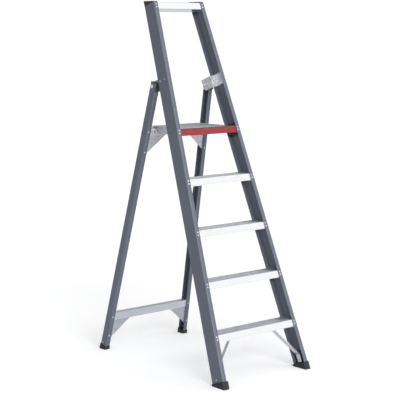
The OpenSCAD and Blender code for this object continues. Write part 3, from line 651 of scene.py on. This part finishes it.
for names, (finish, slotName, width, segments) in softened.items():
    for nodeName in names:
        shape = mergedCopy(nodeName)
        softenEdges(shape, width, segments)
        if "foot" in nodeName:
            side = -1 if nodeName.endswith("left") else 1
            soleGroove(shape, foot["grooveLow"], foot["grooveHigh"], foot["grooveDepth"])
            insetPanel(shape, Vector((0, -1, 0)), foot["panelMargin"], foot["panelDepth"])
            insetPanel(shape, Vector((side, 0, 0)), foot["panelMargin"], foot["panelDepth"])
        finishPiece(shape, camelName(nodeName), nodes[nodeName]["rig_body"], slotName, [finish], [nodeName])
print("frame parts softened")


# Treads and deck: sides in one finish, the ribbed top in another that carries painted shade
ribbedEdge = 0.0003
ribbed = {
    "tread_1": treadAluminium,
    "tread_2": treadAluminium,
    "tread_3": treadAluminium,
    "tread_4": treadAluminium,
    "platform_front_tread": treadAluminium,
    "platform_deck": deckAluminium,
}
for nodeName, finish in ribbed.items():
    shape = mergedCopy(nodeName)
    softenEdges(shape, ribbedEdge, 2)
    # faces looking up take the darker top finish, which is painted shade
    for face in shape.faces:
        if face.normal.z > 0.95:
            face.material_index = 1
    grip = deckGrip if nodeName == "platform_deck" else treadGrip
    finishPiece(shape, camelName(nodeName), nodes[nodeName]["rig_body"], "tread_aluminium",
                [finish, grip], [nodeName])
print("treads and deck made")


# Round parts with softened ends: finish, slot
turnedEdge = 0.0003
turned = {
    "support_pins": (platedSteel, "plated_steel"),
    "platform_pivot_pins": (platedSteel, "plated_steel"),
    "hinge_washers": (platedSteel, "plated_steel"),
    "hinge_spacers": (blackPlastic, "black_plastic"),
}
for nodeName, (finish, slotName) in turned.items():
    shape = mergedCopy(nodeName)
    softenEdges(shape, turnedEdge, 2, shortest=1.0)
    finishPiece(shape, camelName(nodeName), nodes[nodeName]["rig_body"], slotName, [finish], [nodeName])
print("pins and washers made")


# Rivets: a domed head with the sunk end of its mandrel, a shank and a rounded tail
rivet = {
    "mandrel": 0.27,        # as parts of the head's radius
    "mandrelSunk": 0.0006,
    "headHeight": 0.0016,
    "shankRadius": 0.0024,
    "tailRadius": 0.0029,
    "tailLength": 0.0015,
}


def headOutline(radius):
    high, pin = rivet["headHeight"], rivet["mandrel"] * radius
    sunk = rivet["mandrelSunk"] - high
    return [(0, sunk), (0.85 * pin, sunk), (pin, sunk + 0.0001), (1.06 * pin, 0.05 * high - high),
            (0.36 * radius, -high), (0.52 * radius, -0.96 * high), (0.72 * radius, -0.75 * high),
            (0.88 * radius, -0.46 * high), (0.97 * radius, -0.24 * high), (radius, -0.10 * high),
            (0.985 * radius, 0), (rivet["shankRadius"], 0)]


def rivetOutline(length, radius):
    tail, wide = length - rivet["tailLength"], rivet["tailRadius"]
    return headOutline(radius) + [(rivet["shankRadius"], tail), (0.96 * wide, tail + 0.0003),
                                  (wide, tail + 0.0008), (0.9 * wide, tail + 0.0013),
                                  (0.65 * wide, length), (0, length)]


def flushRivetOutline(length, radius):
    shank = rivet["shankRadius"]
    return headOutline(radius) + [(shank, length - 0.0003), (0.9 * shank, length), (0, length)]


rivetGroups = [name for name in nodes.keys() if name.endswith("_rivets")]
for nodeName in rivetGroups:
    outlineFor = flushRivetOutline if nodeName == "deck_rivets" else rivetOutline
    slotName = "galvanised_steel" if nodeName == "hinge_plate_rivets" else "rivet_metal"
    turnedGroup(nodeName, outlineFor, 24, slotName, rivetMetal)
print("rivets made:", len(rivetGroups), "groups")


# Hinge bolts with a hexagon socket, and hexagon nuts
bolt = {
    "socket": 0.0033,
    "socketDepth": 0.0022,
    "headHeight": 0.005,
    "flange": 0.002,
    "shank": 0.005,
    "endChamfer": 0.0007,
}
nut = {
    "bore": 0.00505,
    "boreChamfer": 0.0005,
    "height": 0.0076,
    "flat": 0.97,       # width of its round face, as a part of that across the flats
}


def boltOutline(length, radius):
    high, socket, shank = bolt["headHeight"], bolt["socket"], bolt["shank"]
    flange, chamfer, floor = bolt["flange"], bolt["endChamfer"], bolt["socketDepth"] - high
    return [(0, floor), (socket, floor), (socket, 0.0002 - high), (1.12 * socket, -high),
            (0.54 * radius, 0.00005 - high), (0.64 * radius, -0.83 * high), (0.76 * radius, -0.63 * high),
            (0.85 * radius, -0.48 * high), (0.89 * radius, -flange), (0.97 * radius, 0.0001 - flange),
            (radius, 0.0004 - flange), (radius, -0.0004), (0.97 * radius, 0), (shank, 0),
            (shank, length - chamfer), (shank - chamfer, length), (0, length)]


def nutOutline(length, radius):
    # Its origin is at the far face, so the outline runs down from there and needs no length
    bore, chamfer, high = nut["bore"], nut["boreChamfer"], nut["height"]
    flat = nut["flat"] * radius * math.cos(math.pi / 6)
    return [(bore, -chamfer), (bore + chamfer, 0), (flat, 0), (radius, -0.0002), (radius, 0.0002 - high),
            (flat, -high), (bore + chamfer, -high), (bore, chamfer - high)]


alongX = Vector((1, 0, 0))
turnedGroup("hinge_bolts", boltOutline, 24, "plated_steel", platedSteel, alongX, hexRings=(1, 2))
turnedGroup("hinge_nuts", nutOutline, 48, "plated_steel", platedSteel, alongX, hexRings=(3, 4))
print("bolts and nuts made")
